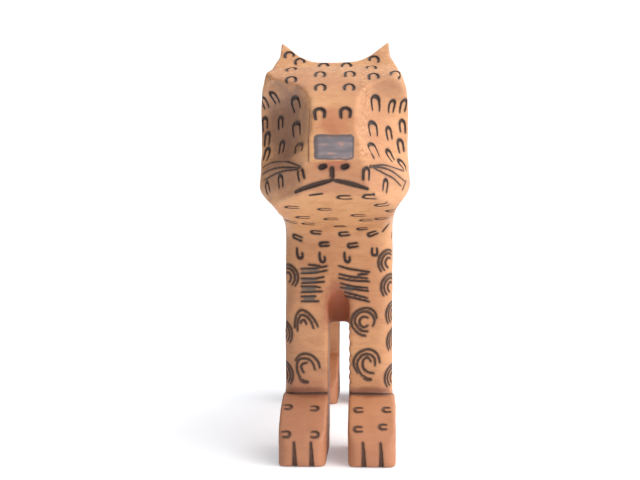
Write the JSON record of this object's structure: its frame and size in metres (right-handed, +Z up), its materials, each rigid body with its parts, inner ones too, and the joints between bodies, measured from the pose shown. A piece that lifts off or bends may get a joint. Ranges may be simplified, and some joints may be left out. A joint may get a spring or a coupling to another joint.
{
  "type": "carved spotted cat figure",
  "caption": "Standing spotted cat carved in wood, decorated with burnt marks, on square legs with a plug-in tail.",
  "frame": {"origin": "centre of the figure's box, on the surface that it stands on", "axes": "+Z up, the figure looks along -Y, its own left side is at +X"},
  "size_m": [0.0624, 0.267, 0.1776],
  "materials": {
    "carved_wood": "light reddish hardwood, knife and rasp finished, thin oil, burnt marks",
    "dowel_wood": "plain pale dowel, unfinished"
  },
  "bodies": {
    "carved_body": {"trunk": "carved_wood", "head": "carved_wood", "neck_dowel": "dowel_wood", "front_left_leg": "carved_wood", "front_right_leg": "carved_wood", "rear_left_leg": "carved_wood", "rear_right_leg": "carved_wood", "front_left_leg_dowel": "dowel_wood", "front_right_leg_dowel": "dowel_wood", "rear_left_leg_dowel": "dowel_wood", "rear_right_leg_dowel": "dowel_wood"},
    "peg": {"tail_peg": "dowel_wood"},
    "tail": {"tail": "carved_wood"}
  },
  "joints": [
    {"name": "tail_pull", "type": "slide", "parent": "carved_body", "child": "peg", "axis": [0, 0.9781, 0.2079], "range_m": [0, 0.016]},
    {"name": "tail_turn", "type": "hinge", "parent": "peg", "child": "tail", "pos_m": [0, 0.10404, 0.0965], "axis": [0, 0.9781, 0.2079], "continuous": true}
  ]
}
